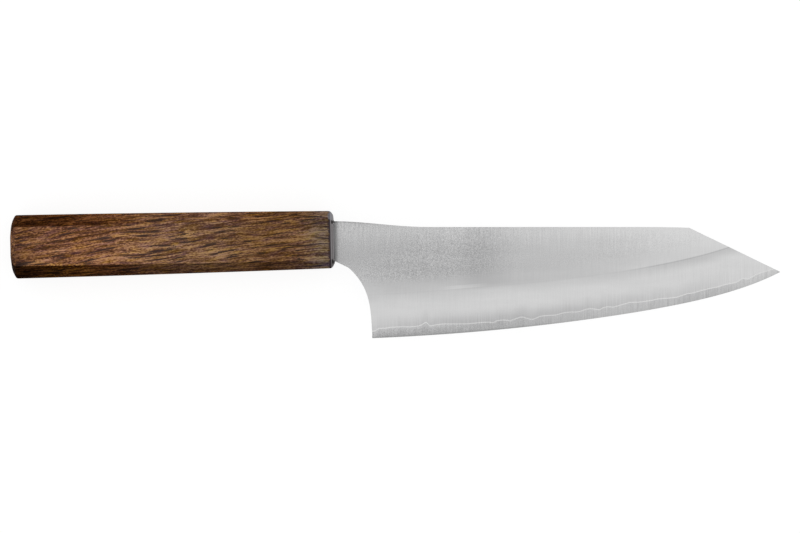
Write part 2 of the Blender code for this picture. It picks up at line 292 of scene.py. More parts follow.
# %% [markdown]
# ## The weld line and the ridge
#
# Where the ground bevel cuts through the outer layer, the hard core comes out. Forging never leaves the
# layers quite even, so that line wanders up and down by about a millimetre along the edge. The ridge, where
# the bevel meets the flat, is ground by hand and wanders too, by a few tenths. Both are drawn as straight
# lines from point to point: the distance from the heel and the height above the edge, in millimetres.

# %% Heights of the weld line and the ridge above the edge
WELD_LINE_MM = (
    (0.0, 2.7), (1.2, 2.8), (2.8, 3.8), (5.3, 3.7), (7.4, 4.0), (11.6, 4.0), (15.7, 3.8), (19.1, 3.9),
    (20.3, 4.2), (21.8, 5.1), (22.4, 5.25), (23.0, 5.0), (23.8, 3.8), (24.5, 3.65), (26.0, 3.95),
    (29.5, 4.15), (33.2, 3.85), (39.5, 3.4), (46.1, 3.45), (48.6, 3.35), (49.9, 2.9), (50.7, 3.0),
    (51.7, 3.6), (54.0, 3.7), (56.5, 3.35), (57.4, 2.85), (58.2, 3.3), (60.5, 3.85), (61.5, 4.15),
    (62.8, 4.05), (65.3, 2.95), (67.0, 2.65), (67.8, 2.9), (69.9, 3.6), (71.9, 3.6), (76.5, 3.35),
    (79.5, 3.85), (82.0, 3.9), (84.9, 3.55), (86.5, 3.55), (89.0, 4.15), (90.3, 4.2), (92.3, 3.85),
    (94.4, 3.1), (96.1, 3.75), (98.0, 3.95), (100.3, 3.4), (103.6, 3.85), (107.3, 4.3), (111.5, 3.75),
    (116.5, 3.6), (118.6, 3.75), (122.8, 3.3), (126.9, 2.95), (131.5, 3.55), (133.2, 3.3), (136.5, 3.5),
    (140.7, 3.5), (144.0, 3.25), (146.5, 3.4), (151.1, 2.95), (152.3, 3.05), (154.2, 3.7), (156.3, 2.6),
    (157.3, 2.65), (159.8, 3.2), (161.7, 3.25), (165.6, 2.6), (168.0, 2.4),
)
RIDGE_MM = ((0.0, 18.1), (50.0, 18.4), (100.0, 17.8), (125.0, 18.1), (140.0, 18.4), (148.0, 18.7))


def along(points, distance):
    """Height on the straight lines between the points, at this distance from the heel."""
    millimetres = MM_PER_M * distance
    for (x0, h0), (x1, h1) in zip(points, points[1:]):
        if millimetres < x1:
            return between(h0, h1, max((millimetres - x0) / (x1 - x0), 0.0)) / MM_PER_M
    return points[-1][1] / MM_PER_M


def weld_height(distance):
    return along(WELD_LINE_MM, distance)


def ridge_height(distance):
    return along(RIDGE_MM, distance)


# %% [markdown]
# ## The thickness of the blade
#
# The blade is a wedge twice over. It thins from the handle to the tip, and from the spine to the edge. The
# flats lean in by a third of a degree, and below the ridge the bevel is ground very slightly hollow.

# %% Half the thickness of the blade
HAIR_BEVEL = 0.0005
NECK_HALF, TIP_HALF = 0.0013, 0.0006
FLAT_TAPER = math.tan(math.radians(0.35))
EDGE_HALF = 0.00011
HOLLOW = 0.00003


def flat_half(x, y):
    """Half the thickness between the two flats."""
    return between(NECK_HALF, TIP_HALF, (x - SHOULDER_GAP) / (TIP_X - SHOULDER_GAP)) + FLAT_TAPER * y


# %% [markdown]
# ## A sheet of steel
#
# Each layer starts as a grid primitive, which is a sheet of small squares. Its lower rows are laid along the
# edge, at chosen heights above it. The upper rows are stretched between the last of those, the spine, the
# choil and the slanting cut, as a cloth is stretched in a frame. Each point also keeps its height above the
# edge, above the weld line, above the ridge and above the spine in millimetres, so that the finish can
# follow those lines later.

# %% Lay a grid into the blade's outline
COLUMNS = 281
CHOIL_STEPS, ROOT_STEPS = 24, 4
TANG_LENGTH, TANG_ROOT, TANG_END = 0.095, 0.01327, 0.008
HANDLE_DROP = 0.005265
HANDLE_TILT = math.radians(1.32)
PAST_TIP = 1.01 * BLADE_LENGTH


def low_row(height):
    """Points at a given height above the cutting edge, from the choil to the slanting cut."""

    def point(distance):
        return Vector((HEEL_SETBACK + distance, edge_height(distance) + height(distance)))

    def past_choil(distance):
        place = point(distance)
        return place.x - choil_point(choil_share(place.y)).x

    def past_clip(distance):
        place = point(distance)
        return place.y + TIP_DEPTH - (TIP_X - place.x) * math.tan(CLIP_ANGLE)

    start = solve(past_choil, -HEEL_SETBACK, HEEL_SETBACK)
    end = solve(past_clip, BLADE_LENGTH / 2.0, PAST_TIP)
    return [point(between(start, end, i / (COLUMNS - 1))) for i in range(COLUMNS)]


def left_side(start):
    """The outline from a point of the choil up to the shoulder, past both corners of the tang's root."""
    last = choil_share(start.y)
    choil = [choil_point(last * (1.0 - i / CHOIL_STEPS)) for i in range(CHOIL_STEPS + 1)]
    root = [-HANDLE_DROP + TANG_ROOT * (i / ROOT_STEPS - 0.5) for i in range(ROOT_STEPS + 1)]
    return choil + [Vector((SHOULDER_GAP, y)) for y in root] + [spine_point(0.0)]


def stretched_rows(bottom):
    """Rows between the bottom row, the choil side, the slanting cut and the spine."""
    left = left_side(bottom[0])
    top = [spine_point(i / (COLUMNS - 1)) for i in range(COLUMNS)]
    rows = []
    for j in range(1, len(left)):
        v = j / (len(left) - 1)
        right = bottom[-1].lerp(top[-1], v)
        row = []
        for i in range(COLUMNS):
            u = i / (COLUMNS - 1)
            upward = bottom[i].lerp(top[i], v)
            across = left[j].lerp(right, u)
            corners = bottom[0].lerp(top[0], v).lerp(right, u)
            row.append(upward + across - corners)
        rows.append(row)
    return rows


def steel_sheet(low_rows, level):
    """A grid of COLUMNS by as many rows as needed, laid into the outline. The level gives Z for a point, its
    row and its column."""
    rows = low_rows + stretched_rows(low_rows[-1])
    bpy.ops.mesh.primitive_grid_add(
        x_subdivisions=COLUMNS - 1, y_subdivisions=len(rows) - 1, size=1.0, location=ORIGIN,
    )
    sheet = bpy.context.object
    lines = {
        "over_edge": lambda distance: 0.0, "over_weld": weld_height, "over_ridge": ridge_height,
        "over_spine": lambda distance: neck_height(distance + HEEL_SETBACK) - edge_height(distance),
    }
    for name in lines:
        sheet.data.attributes.new(name, "FLOAT", "POINT")
    heights = {name: sheet.data.attributes[name].data for name in lines}
    for vert in sheet.data.vertices:
        i = round((vert.co.x + 0.5) * (COLUMNS - 1))
        j = round((vert.co.y + 0.5) * (len(rows) - 1))
        place = rows[j][i]
        distance = place.x - HEEL_SETBACK
        for name, line in lines.items():
            over_line = place.y - edge_height(distance) - line(distance)
            heights[name][vert.index].value = MM_PER_M * over_line
        vert.co = (place.x, place.y, level(place, j, i))
    print("a sheet of", len(rows), "rows")
    return sheet


def draw_out_tang(level):
    """Extrudes the edges between the corners of the tang's root back into the handle and narrows them."""
    reach = TANG_ROOT / 2.0 + SAME_PLACE

    def is_root(vert):
        return abs(vert.co.x - SHOULDER_GAP) < SAME_PLACE and abs(vert.co.y + HANDLE_DROP) < reach

    pick("EDGE", lambda edge: all(is_root(vert) for vert in edge.verts))
    back = -TANG_LENGTH * math.cos(HANDLE_TILT) - SHOULDER_GAP
    down = -TANG_LENGTH * math.sin(HANDLE_TILT)
    bpy.ops.mesh.extrude_region_move(TRANSFORM_OT_translate={"value": (back, down, 0.0)})
    bpy.ops.transform.resize(
        value=(1.0, TANG_END / TANG_ROOT, 0.0),
        center_override=ORIGIN + Vector((SHOULDER_GAP + back, down - HANDLE_DROP, level)),
    )


# %% [markdown]
# ## The outer layers
#
# The right-hand layer is the sheet with its face ground to the blade's thickness. Extruding all of it and
# flattening the new faces onto the core's plane makes it solid. At the weld line it feathers out to nothing,
# so the doubled points there are merged. A maker always breaks the sharp corners of the spine and the choil
# with a stone, or they would cut the cook's hand, so those edges get a small bevel.

# %% Right-hand layer
BEVEL_SHARES = (0.0, 0.03, 0.18, 0.36, 0.54, 0.72, 0.88, 0.97, 1.0)
TANG_END_HALF = 0.0009

ridge_row = low_row(ridge_height)
bevel_rows = [
    low_row(lambda distance: between(weld_height(distance), ridge_height(distance), share))
    for share in BEVEL_SHARES
]


def cladding_level(place, row, column):
    """Half the blade's thickness at a point of the right-hand layer."""
    if row >= len(BEVEL_SHARES) - 1:
        return flat_half(place.x, place.y)
    share = BEVEL_SHARES[row]
    ridge = ridge_row[column]
    return between(CORE_HALF, flat_half(ridge.x, ridge.y), share) - HOLLOW * 4.0 * share * (1.0 - share)


def make_solid(height):
    """Extrudes the whole sheet in place and flattens the new faces at this height."""
    bpy.ops.mesh.select_all(action="SELECT")
    bpy.ops.mesh.extrude_region_move(TRANSFORM_OT_translate={"value": (0.0, 0.0, 0.0)})
    bpy.ops.transform.resize(value=(1.0, 1.0, 0.0), center_override=(0.0, 0.0, height))


right_layer = steel_sheet(bevel_rows, cladding_level)
open_piece(right_layer)
draw_out_tang(TANG_END_HALF)
make_solid(ORIGIN.z + CORE_HALF)
bpy.ops.mesh.select_all(action="SELECT")
bpy.ops.mesh.remove_doubles(threshold=MERGE_DISTANCE)
bpy.ops.mesh.normals_make_consistent(inside=False)

# %% Ease the corners of the spine, the cut and the choil
EASED_EDGE = 0.00007
SHARP_ANGLE = math.radians(60.0)
LEAST_THICKNESS = 0.0003
ARC_SEGMENTS = 3


def is_outer_corner(edge):
    thick = all(vert.co.z > CORE_HALF + LEAST_THICKNESS for vert in edge.verts)
    outside = all(vert.co.x > SHOULDER_GAP / 2.0 for vert in edge.verts)
    return thick and outside and len(edge.link_faces) == 2 and edge.calc_face_angle() > SHARP_ANGLE


print(pick("EDGE", is_outer_corner), "edges are eased")
bpy.ops.mesh.bevel(offset=EASED_EDGE, segments=ARC_SEGMENTS, affect="EDGES", clamp_overlap=True)
bpy.ops.object.mode_set(mode="OBJECT")

# %% Left-hand layer, a mirrored copy
select_alone(right_layer)
bpy.ops.object.duplicate()
left_layer = bpy.context.object
open_piece(left_layer)
bpy.ops.transform.resize(value=(1.0, 1.0, -1.0), center_override=(0.0, 0.0, ORIGIN.z))
bpy.ops.mesh.normals_make_consistent(inside=False)
bpy.ops.object.mode_set(mode="OBJECT")

# %% [markdown]
# ## The core
#
# The core is a thin sheet between the two layers. Below the weld line the bevel thins it to the edge, and
# the last half millimetre is the hair bevel that a whetstone leaves. Only one half is shaped, up from the
# blade's middle plane, and a Mirror modifier adds the other.

# %% Core layer
core_rows = [
    low_row(lambda distance: 0.0),
    low_row(lambda distance: HAIR_BEVEL),
    low_row(lambda distance: between(HAIR_BEVEL, weld_height(distance), 0.5)),
    low_row(weld_height),
]
CORE_LEVELS = (0.0, EDGE_HALF, (EDGE_HALF + CORE_HALF) / 2.0, CORE_HALF)


def core_level(place, row, column):
    """Half the core's thickness, which depends on the row alone."""
    return CORE_LEVELS[min(row, len(CORE_LEVELS) - 1)]


core_layer = steel_sheet(core_rows, core_level)
open_piece(core_layer)
draw_out_tang(CORE_HALF)
make_solid(ORIGIN.z)
pick("FACE", lambda face: all(abs(vert.co.z) < SAME_PLACE for vert in face.verts))
bpy.ops.mesh.delete(type="ONLY_FACE")
bpy.ops.mesh.select_all(action="SELECT")
bpy.ops.mesh.remove_doubles(threshold=MERGE_DISTANCE)
bpy.ops.mesh.delete_loose(use_verts=True, use_edges=True, use_faces=False)
bpy.ops.object.mode_set(mode="OBJECT")

# %% Mirror the core about the blade's middle plane
mirror = core_layer.modifiers.new("other_half", "MIRROR")
mirror.use_axis = (False, False, True)
mirror.merge_threshold = MERGE_DISTANCE
bpy.ops.object.modifier_apply(modifier=mirror.name)
open_piece(core_layer)
bpy.ops.mesh.normals_make_consistent(inside=False)
bpy.ops.object.mode_set(mode="OBJECT")

# %% [markdown]
# ## Ground stainless steel
#
# The outer layers are soft stainless steel, drawn across a belt from the spine to the edge and then rubbed
# to a satin. Seen from above, satin steel sends back a little over half of a white studio, in a neutral
# grey. The belt leaves hairlines down the blade, strongest where it was set down at the spine and lifted off
# near the edge. Those are far finer than a pixel, so what is drawn is bundles of them, about half a
# millimetre apart. The flats are blasted first, and near the handle the belt hasn't quite taken out that
# speckle, which is drawn coarser than it is too. The bevel is ground finer and shines brighter, and the
# feathered rim of the layer at the weld line is polished bright.
#
# A finish like this is a sum of small effects, each with its own zone, so the shader adds them up as one
# tone from dark to light. Map Range nodes with a smooth step make the zones. The tables below give the value
# that each zone reads, the two places that its step runs between, and what those give if it isn't 0 and 1.
# Right beside the handle, where the handle shadows the steel and is reflected in it, and along the top of the
# neck, the steel is darkened with painted shade: there the colour itself is scaled down.

# %% Sums, patterns and the finish of steel
SMOOTH = {"interpolation_type": "SMOOTHSTEP"}
HAIRLINES_MM, HAIRLINES_DETAIL = (0.42, 12.0, 12.0), 2.0
SPECKLE_MM, SPECKLE_DETAIL = (0.30, 0.30, 0.30), 1.0
CLOUDS_MM, CLOUDS_DETAIL = (34.0, 5.0, 5.0), 3.0
NOISE_ROUGHNESS = 0.6
DARK_STEEL, LIGHT_STEEL = "a0a0a1", "e6e6e6"
SCRATCH_DEPTH = 0.00001


def total(material, terms):
    """The sum of products. Each term is a pair of numbers or outputs."""
    result = 0.0
    for first, second in terms:
        result = add_node(material, "Math", {0: first, 1: second, 2: result}, operation="MULTIPLY_ADD")
    return result


def product(material, first, *others):
    """The product of two or more numbers or outputs."""
    second = product(material, *others) if len(others) > 1 else others[0]
    return add_node(material, "Math", {0: first, 1: second}, operation="MULTIPLY")


def place_in_mm(material, origin, turn=0.0):
    """Place on a piece in millimetres from an origin, along axes that are turned about Z."""
    return add_node(material, "Mapping", {
        "Vector": add_node(material, "TexCoord", out="Object"),
        "Location": origin, "Rotation": (0.0, 0.0, turn), "Scale": [1.0 / MM_PER_M] * 3,
    }, vector_type="TEXTURE")


def noise(material, place, size, detail):
    """Noise about nought, with spots of this size."""
    spots = add_node(material, "TexNoise", {
        "Vector": add_node(material, "Mapping", {
            "Vector": place, "Scale": size,
        }, vector_type="TEXTURE"),
        "Scale": 1.0, "Detail": detail, "Roughness": NOISE_ROUGHNESS,
    })
    return add_node(material, "Math", {0: spots, 1: -0.5}, operation="ADD")


def finish_steel(material, tone, shade, roughness, scratches, bump_strength):
    """Steel whose grey runs from dark to light as tone goes from 0 to 1, scaled down by the shade."""
    grey = add_node(material, "Mix", {
        "Factor": tone, "A": linear(DARK_STEEL), "B": linear(LIGHT_STEEL),
    }, data_type="RGBA")
    grey = add_node(material, "VectorMath", {0: grey, "Scale": shade}, operation="SCALE")
    bump = add_node(material, "Bump", {
        "Height": scratches, "Strength": bump_strength, "Distance": SCRATCH_DEPTH,
    })
    shader = add_node(material, "BsdfPrincipled", {
        "Base Color": grey, "Metallic": 1.0, "Roughness": roughness, "Normal": bump,
    })
    add_node(material, "OutputMaterial", {"Surface": shader})


# %% Zones along the blade
stainless = new_material("belt_ground_stainless_steel")
place = place_in_mm(stainless, ORIGIN)
x, y = [add_node(stainless, "SeparateXYZ", {"Vector": place}, out=axis) for axis in "XY"]
zone = {}
for name, step in {
    "handle_shade": (x, 0.5, 2.3, 0.53, 1.0),
    "neck": (x, 22.0, 10.0),
    "near_handle": (x, 26.0, 12.0),
    "past_heel": (x, 10.0, 60.0, 0.45, 1.0),
    "heel_half": (x, 80.0, 45.0),
    "coarse_flat": (x, 45.0, 88.0, 1.8, 0.8),
    "shaded_patch_start": (x, 50.0, 60.0),
    "shaded_patch_end": (x, 78.0, 61.0),
    "last_third": (x, 100.0, 140.0),
    "ridge_end": (x, 113.0, 139.0),
    "tip_part": (x, 150.0, 170.0),
    "ridge_blur": (x, 60.0, 130.0, 1.6, 0.15),
    "glint_start": (x, 42.0, 52.0),
    "glint_end": (x, 66.0, 58.0),
}.items():
    zone[name] = add_node(stainless, "MapRange", dict(enumerate(step)), **SMOOTH)
to_tip = add_node(stainless, "MapRange", {0: x, 1: 45.0, 2: 155.0})

# %% Zones from the spine down to the edge
over_weld, over_ridge, over_spine = [
    add_node(stainless, "Attribute", out="Fac", attribute_name=name)
    for name in ("over_weld", "over_ridge", "over_spine")
]
off_ridge = add_node(stainless, "Math", {0: over_ridge}, operation="ABSOLUTE")
ridge_blur = total(stainless, [(1.0, zone["ridge_blur"]), (zone["near_handle"], -0.9)])
ridge_share = add_node(stainless, "Math", {0: over_ridge, 1: ridge_blur}, operation="DIVIDE")
for name, step in {
    "neck_top_shade": (over_spine, -0.9, -0.2),
    "at_spine": (y, -11.0, 0.5),
    "lower_flat": (y, -13.0, -22.0),
    "on_flat": (ridge_share, -1.0, 1.0),
    "clear_of_ridge": (over_ridge, 3.0, 8.0),
    "above_ridge": (over_ridge, 9.0, 0.0),
    "ridge_line": (off_ridge, 0.45, 0.05),
    "below_ridge": (over_ridge, -5.5, 0.0),
    "near_weld": (over_weld, 6.8, 0.0),
    "weld_rim": (over_weld, 0.5, 0.22),
}.items():
    zone[name] = add_node(stainless, "MapRange", dict(enumerate(step)), **SMOOTH)
print(len(zone), "zones on the outer layers")

# %% A painted highlight just above the ridge
GLINT_HEIGHT_MM, GLINT_HALF_MM = 0.9, 0.7
glint_height = add_node(stainless, "Math", {
    0: over_ridge, 1: GLINT_HEIGHT_MM, 2: GLINT_HALF_MM,
}, operation="COMPARE")
streak = product(stainless, glint_height, zone["glint_start"], zone["glint_end"])

# %% Tone of the flat and of the bevel
# Painted reflection: the flat is made lighter toward the tip, at the spine and just above the ridge, and
# darker in a patch near its middle, as the light it reflects changes across it.
behind_heel = product(stainless, zone["near_handle"], zone["lower_flat"])
shaded_patch = product(stainless, zone["shaded_patch_start"], zone["shaded_patch_end"])
ridge_gain = total(stainless, [(1.0, 0.03), (zone["heel_half"], 0.2), (zone["ridge_end"], 0.04)])
flat_tone = total(stainless, [
    (1.0, 0.43), (behind_heel, 0.1), (zone["heel_half"], -0.06), (to_tip, 0.32), (zone["at_spine"], 0.22),
    (zone["above_ridge"], ridge_gain), (shaded_patch, -0.14), (zone["ridge_end"], 0.06),
])
ridge_shade = total(stainless, [(1.0, -0.18), (zone["last_third"], -0.12)])
weld_shade = total(stainless, [
    (zone["past_heel"], -0.41), (zone["last_third"], 0.16), (zone["tip_part"], 0.2),
])
bevel_tone = total(stainless, [
    (1.0, 0.85), (to_tip, 0.05), (zone["below_ridge"], ridge_shade), (zone["near_weld"], weld_shade),
])
smooth_tone = add_node(stainless, "Mix", {"Factor": zone["on_flat"], "A": bevel_tone, "B": flat_tone})

# %% Scratches and speckle, and the finished steel
hairlines = noise(stainless, place, HAIRLINES_MM, HAIRLINES_DETAIL)
speckle = noise(stainless, place, SPECKLE_MM, SPECKLE_DETAIL)
clouds = noise(stainless, place, CLOUDS_MM, CLOUDS_DETAIL)
spine_lines = total(stainless, [(1.0, 0.58), (zone["last_third"], -0.48)])
hairline_share = total(stainless, [
    (1.0, 0.2), (zone["last_third"], 0.06), (zone["at_spine"], spine_lines), (zone["near_weld"], 0.25),
])
speckle_share = add_node(stainless, "Mix", {
    "Factor": zone["clear_of_ridge"], "A": 0.15, "B": zone["coarse_flat"],
})
# Painted shade: a dark line along the ridge, strongest toward the tip, where the crease turns from the light.
ridge_line_shade = total(stainless, [(1.0, -0.04), (zone["ridge_end"], -0.2)])
rim_light = total(stainless, [(1.0, 0.45), (zone["tip_part"], 0.15)])
tone = total(stainless, [
    (smooth_tone, 1.0), (zone["ridge_line"], ridge_line_shade), (zone["weld_rim"], rim_light), (streak, 0.15),
    (hairlines, hairline_share), (speckle, speckle_share), (clouds, 0.22),
])
# Painted shade: the colour is scaled down right beside the handle and along the top of the neck.
neck_top_shade = product(stainless, zone["neck_top_shade"], zone["neck"])
shade = total(stainless, [(zone["handle_shade"], 1.0), (neck_top_shade, -0.27)])
satin = total(stainless, [(1.0, 0.32), (zone["on_flat"], 0.08), (hairlines, 0.06), (zone["weld_rim"], -0.1)])
finish_steel(stainless, tone, shade, satin, hairlines, bump_strength=0.35)
finish_piece(right_layer, "right_layer", stainless, "cladding_right")
finish_piece(left_layer, "left_layer", stainless, "cladding_left")

# %% [markdown]
# ## Hard core steel
#
# The core is a carbon-rich steel. It takes the same belt, but it is harder, so it stays greyer and keeps a
# coarser scratch pattern, which shows as fine streaks across the strip. It is lightest under the weld line,
# and the hair bevel is dark, because it tilts toward the table.

# %% Finish of the core
carbon_steel = new_material("ground_high_carbon_steel")
place = place_in_mm(carbon_steel, ORIGIN)
x = add_node(carbon_steel, "SeparateXYZ", {"Vector": place}, out="X")
over_edge, over_weld = [
    add_node(carbon_steel, "Attribute", out="Fac", attribute_name=name)
    for name in ("over_edge", "over_weld")
]
zone = {}
for name, step in {
    "heel_part": (x, 62.0, 40.0),
    "past_middle": (x, 118.0, 142.0),
    "tip_part": (x, 158.0, 176.0),
    "strip_tone": (x, 60.0, 130.0, 0.29, 0.52),
    "streak_share": (x, 80.0, 130.0, 0.5, 0.86),
    "speckle_share": (x, 50.0, 100.0, 1.3, 0.5),
    "hair_bevel": (over_edge, 0.7, 0.45),
    "bevel_shade": (x, 70.0, 110.0, -0.17, -0.03),
}.items():
    zone[name] = add_node(carbon_steel, "MapRange", dict(enumerate(step)), **SMOOTH)
to_edge = add_node(carbon_steel, "MapRange", {0: over_weld, 1: 0.0, 2: -3.0, 3: 0.3, 4: -0.08})
hairlines = noise(carbon_steel, place, HAIRLINES_MM, HAIRLINES_DETAIL)
speckle = noise(carbon_steel, place, SPECKLE_MM, SPECKLE_DETAIL)
edge_share = total(carbon_steel, [(1.0, 0.3), (zone["heel_part"], 0.7)])
tone = total(carbon_steel, [
    (zone["strip_tone"], 1.0), (zone["past_middle"], -0.07), (zone["tip_part"], 0.18), (to_edge, edge_share),
    (hairlines, zone["streak_share"]), (speckle, zone["speckle_share"]),
])
shade = total(carbon_steel, [(1.0, 1.0), (zone["hair_bevel"], zone["bevel_shade"])])
ground = total(carbon_steel, [(1.0, 0.36), (hairlines, 0.1)])
finish_steel(carbon_steel, tone, shade, ground, hairlines, bump_strength=0.5)
finish_piece(core_layer, "core_layer", carbon_steel, "core_steel")

# %% [markdown]
# ## The handle
#
# The handle starts as a block, as it does in the workshop: it is sawn to a taper, higher at the butt than at
# the blade, then its four long corners are planed off, which leaves eight faces. In Blender a plane cut is a
# bisect. Sanding leaves the top and the bottom a little fuller in the middle: more bisects, which cut
# nothing off, add the points that are pushed out for that. The two ends are rounded over into shallow domes
# by extruding the end face and shrinking it, step by step, and the arrises are broken with a small bevel.

# %% Sizes of the handle
HANDLE_LENGTH = 0.13437
FRONT_HEIGHT, BUTT_HEIGHT, SWELL = 0.0238, 0.0264, 0.0002
FRONT_WIDTH, BUTT_WIDTH = 0.019, 0.0205
FRONT_FACET, BUTT_FACET = 0.0032, 0.005
FRONT_DOME, BUTT_DOME, BUTT_RIM = 0.0014, 0.00258, 0.0026
FRONT_CAP, BUTT_CAP = 0.72, 0.20
DOME_POWER = 3.0
DOME_RINGS = 8
ARRIS = 0.0005
SHARP_ARRIS = math.radians(35.0)


def section(depth):
    """Half height, half width and facet of the handle, this deep behind its front."""
    share = depth / HANDLE_LENGTH
    return (
        between(FRONT_HEIGHT, BUTT_HEIGHT, share) / 2.0,
        between(FRONT_WIDTH, BUTT_WIDTH, share) / 2.0,
        between(FRONT_FACET, BUTT_FACET, share),
    )


# %% Saw the block to its taper
def tapered_block(front, back, size_at):
    """A block between two depths, with a height and a width for each. It is left in edit mode."""
    bpy.ops.mesh.primitive_cube_add(size=1.0)
    block = bpy.context.object
    open_piece(block)
    bpy.ops.transform.resize(value=(back - front, 1.0, 1.0))
    bpy.ops.transform.translate(value=(-(back + front) / 2.0, 0.0, 0.0))
    for depth in (front, back):
        pick("VERT", lambda vert: abs(vert.co.x + depth) < SAME_PLACE)
        bpy.ops.transform.resize(value=(1.0, *size_at(depth)))
    return block


front_depth, butt_depth = FRONT_DOME, HANDLE_LENGTH - BUTT_RIM
handle = tapered_block(front_depth, butt_depth, lambda depth: [2.0 * half for half in section(depth)[:2]])

# %% Plane off the four long corners
for y_side in (1.0, -1.0):
    for z_side in (1.0, -1.0):
        corners = []
        for depth in (front_depth, butt_depth):
            half_height, half_width, facet = section(depth)
            corners.append(Vector((-depth, y_side * (half_height - facet), z_side * half_width)))
            corners.append(Vector((-depth, y_side * half_height, z_side * (half_width - facet))))
        normal = (corners[1] - corners[0]).cross(corners[2] - corners[0]).normalized()
        if normal.y * y_side < 0.0:
            normal = -normal
        bpy.ops.mesh.select_all(action="SELECT")
        bpy.ops.mesh.bisect(plane_co=corners[0], plane_no=normal, use_fill=True, clear_outer=True)
print("the block now has", len(bmesh.from_edit_mesh(handle.data).faces), "faces")

# %% Let the top and the bottom swell
SWELL_STEPS = 10
swell_shares = [step / SWELL_STEPS for step in range(1, SWELL_STEPS)]
for share in swell_shares:
    depth = between(front_depth, butt_depth, share)
    bpy.ops.mesh.select_all(action="SELECT")
    bpy.ops.mesh.bisect(plane_co=(-depth, 0.0, 0.0), plane_no=(1.0, 0.0, 0.0))
for share in swell_shares:
    depth = between(front_depth, butt_depth, share)
    for side in (1.0, -1.0):
        pick("VERT", lambda vert: abs(vert.co.x + depth) < SAME_PLACE and vert.co.y * side > 0.0)
        bpy.ops.transform.translate(value=(0.0, side * SWELL * 4.0 * share * (1.0 - share), 0.0))

# %% Round over the two ends
LEAST_FACING = 0.9
for side, depth, dome, cap in (
    (1.0, front_depth, FRONT_DOME, FRONT_CAP),
    (-1.0, butt_depth, BUTT_DOME, BUTT_CAP),
):
    pick("FACE", lambda face: face.normal.x * side > LEAST_FACING)
    size, height = 1.0, 0.0
    for ring in range(DOME_RINGS - 1, -1, -1):
        share = ring / DOME_RINGS
        new_size = between(cap, 1.0, share)
        new_height = dome * (1.0 - share**DOME_POWER)
        bpy.ops.mesh.extrude_region_move(
            TRANSFORM_OT_translate={"value": (side * (new_height - height), 0.0, 0.0)},
        )
        bpy.ops.transform.resize(
            value=(1.0, new_size / size, new_size / size),
            center_override=(-depth + side * new_height, 0.0, 0.0),
        )
        size, height = new_size, new_height

# %% Break the arrises
bpy.ops.mesh.select_mode(type="EDGE")
bpy.ops.mesh.select_all(action="DESELECT")
bpy.ops.mesh.edges_select_sharp(sharpness=SHARP_ARRIS)
bpy.ops.mesh.bevel(offset=ARRIS, segments=ARC_SEGMENTS, affect="EDGES")
bpy.ops.mesh.select_all(action="SELECT")
bpy.ops.mesh.normals_make_consistent(inside=False)
bpy.ops.object.mode_set(mode="OBJECT")

# %% [markdown]
# ## The slot for the tang
#
# The slot is wider than the tang all round, because the blade is set in with filler and lined up by eye. It
# is a bar the shape of the slot, cut out of the handle by a Boolean modifier.

# %% Cut the slot
SLOT_ROOM = 0.0012
SLOT_EXTRA = 0.003
SLOT_DEPTH = TANG_LENGTH + SLOT_EXTRA
TANG_ROOT_HALF = 0.0013
CUTTER_PROUD = 0.001


def tang_bar(clearance, front, back):
    """A tapering bar along the tang that clears it by this much all round, from front to back depth."""

    def size_at(depth):
        share = depth / TANG_LENGTH
        return (
            between(TANG_ROOT, TANG_END, share) + 2.0 * clearance,
            2.0 * between(TANG_ROOT_HALF, TANG_END_HALF, share) + 2.0 * clearance,
        )

    bar = tapered_block(front, back, size_at)
    bpy.ops.object.mode_set(mode="OBJECT")
    return bar


def cut_away(piece, cutter):
    """Cuts the cutter's shape out of the piece and removes the cutter."""
    cut = piece.modifiers.new("cut", "BOOLEAN")
    cut.operation = "DIFFERENCE"
    cut.solver = "EXACT"
    cut.object = cutter
    select_alone(piece)
    bpy.ops.object.modifier_apply(modifier=cut.name)
    bpy.data.objects.remove(cutter)


cut_away(handle, tang_bar(SLOT_ROOM, -CUTTER_PROUD, SLOT_DEPTH))


def set_on_axis(piece):
    """Moves a piece from the handle's own axis to its place behind the blade."""
    piece.location = ORIGIN + Vector((0.0, -HANDLE_DROP, 0.0))
    piece.rotation_euler.z = HANDLE_TILT


set_on_axis(handle)

# %% [markdown]
# ## Dark, open-pored oak
#
# The wood is oak, stained dark brown and rubbed back. The pores hold the stain and show as dark dashes up to
# a centimetre long, while the dense wood between them is golden to reddish brown. It is almost matt, so its
# specular level is close to nought. The streaks are half a millimetre thick. They rise toward the blade, by
# 7 degrees at the butt and 4 at the front, and they wander, because the grain does. Each pattern below is a
# noise stretched to the length and the thickness of what it stands for, in millimetres. A colour ramp lays
# five colours on the streaks, redder ones at the butt and greyer ones at the front, and patches of the wood
# lean to purple or to gold.

# %% Grain of the oak
CURVE_PER_MM, FRONT_SLOPE = 0.00024, 0.065
WANDER_MM, WANDER_REACH_MM = (22.0, 9.0, 9.0), (0.0, 3.0, 3.0)

oak = new_material("stained_open_pored_oak")
place = place_in_mm(oak, ORIGIN + Vector((0.0, -HANDLE_DROP, 0.0)), HANDLE_TILT)
x, y, z = [add_node(oak, "SeparateXYZ", {"Vector": place}, out=axis) for axis in "XYZ"]
rise = product(oak, x, total(oak, [(x, CURVE_PER_MM), (1.0, -FRONT_SLOPE)]))
wander = add_node(oak, "TexNoise", {
    "Vector": add_node(oak, "Mapping", {
        "Vector": place, "Scale": WANDER_MM,
    }, vector_type="TEXTURE"),
    "Scale": 1.0, "Detail": 1.0,
}, out="Color")
wander = add_node(oak, "VectorMath", {0: wander, 1: (-0.5, -0.5, -0.5)}, operation="ADD")
bent = add_node(oak, "VectorMath", {0: wander, 1: WANDER_REACH_MM, 2: place}, operation="MULTIPLY_ADD")
bent = add_node(oak, "VectorMath", {
    0: bent, 1: add_node(oak, "CombineXYZ", {"Y": rise}),
}, operation="ADD")
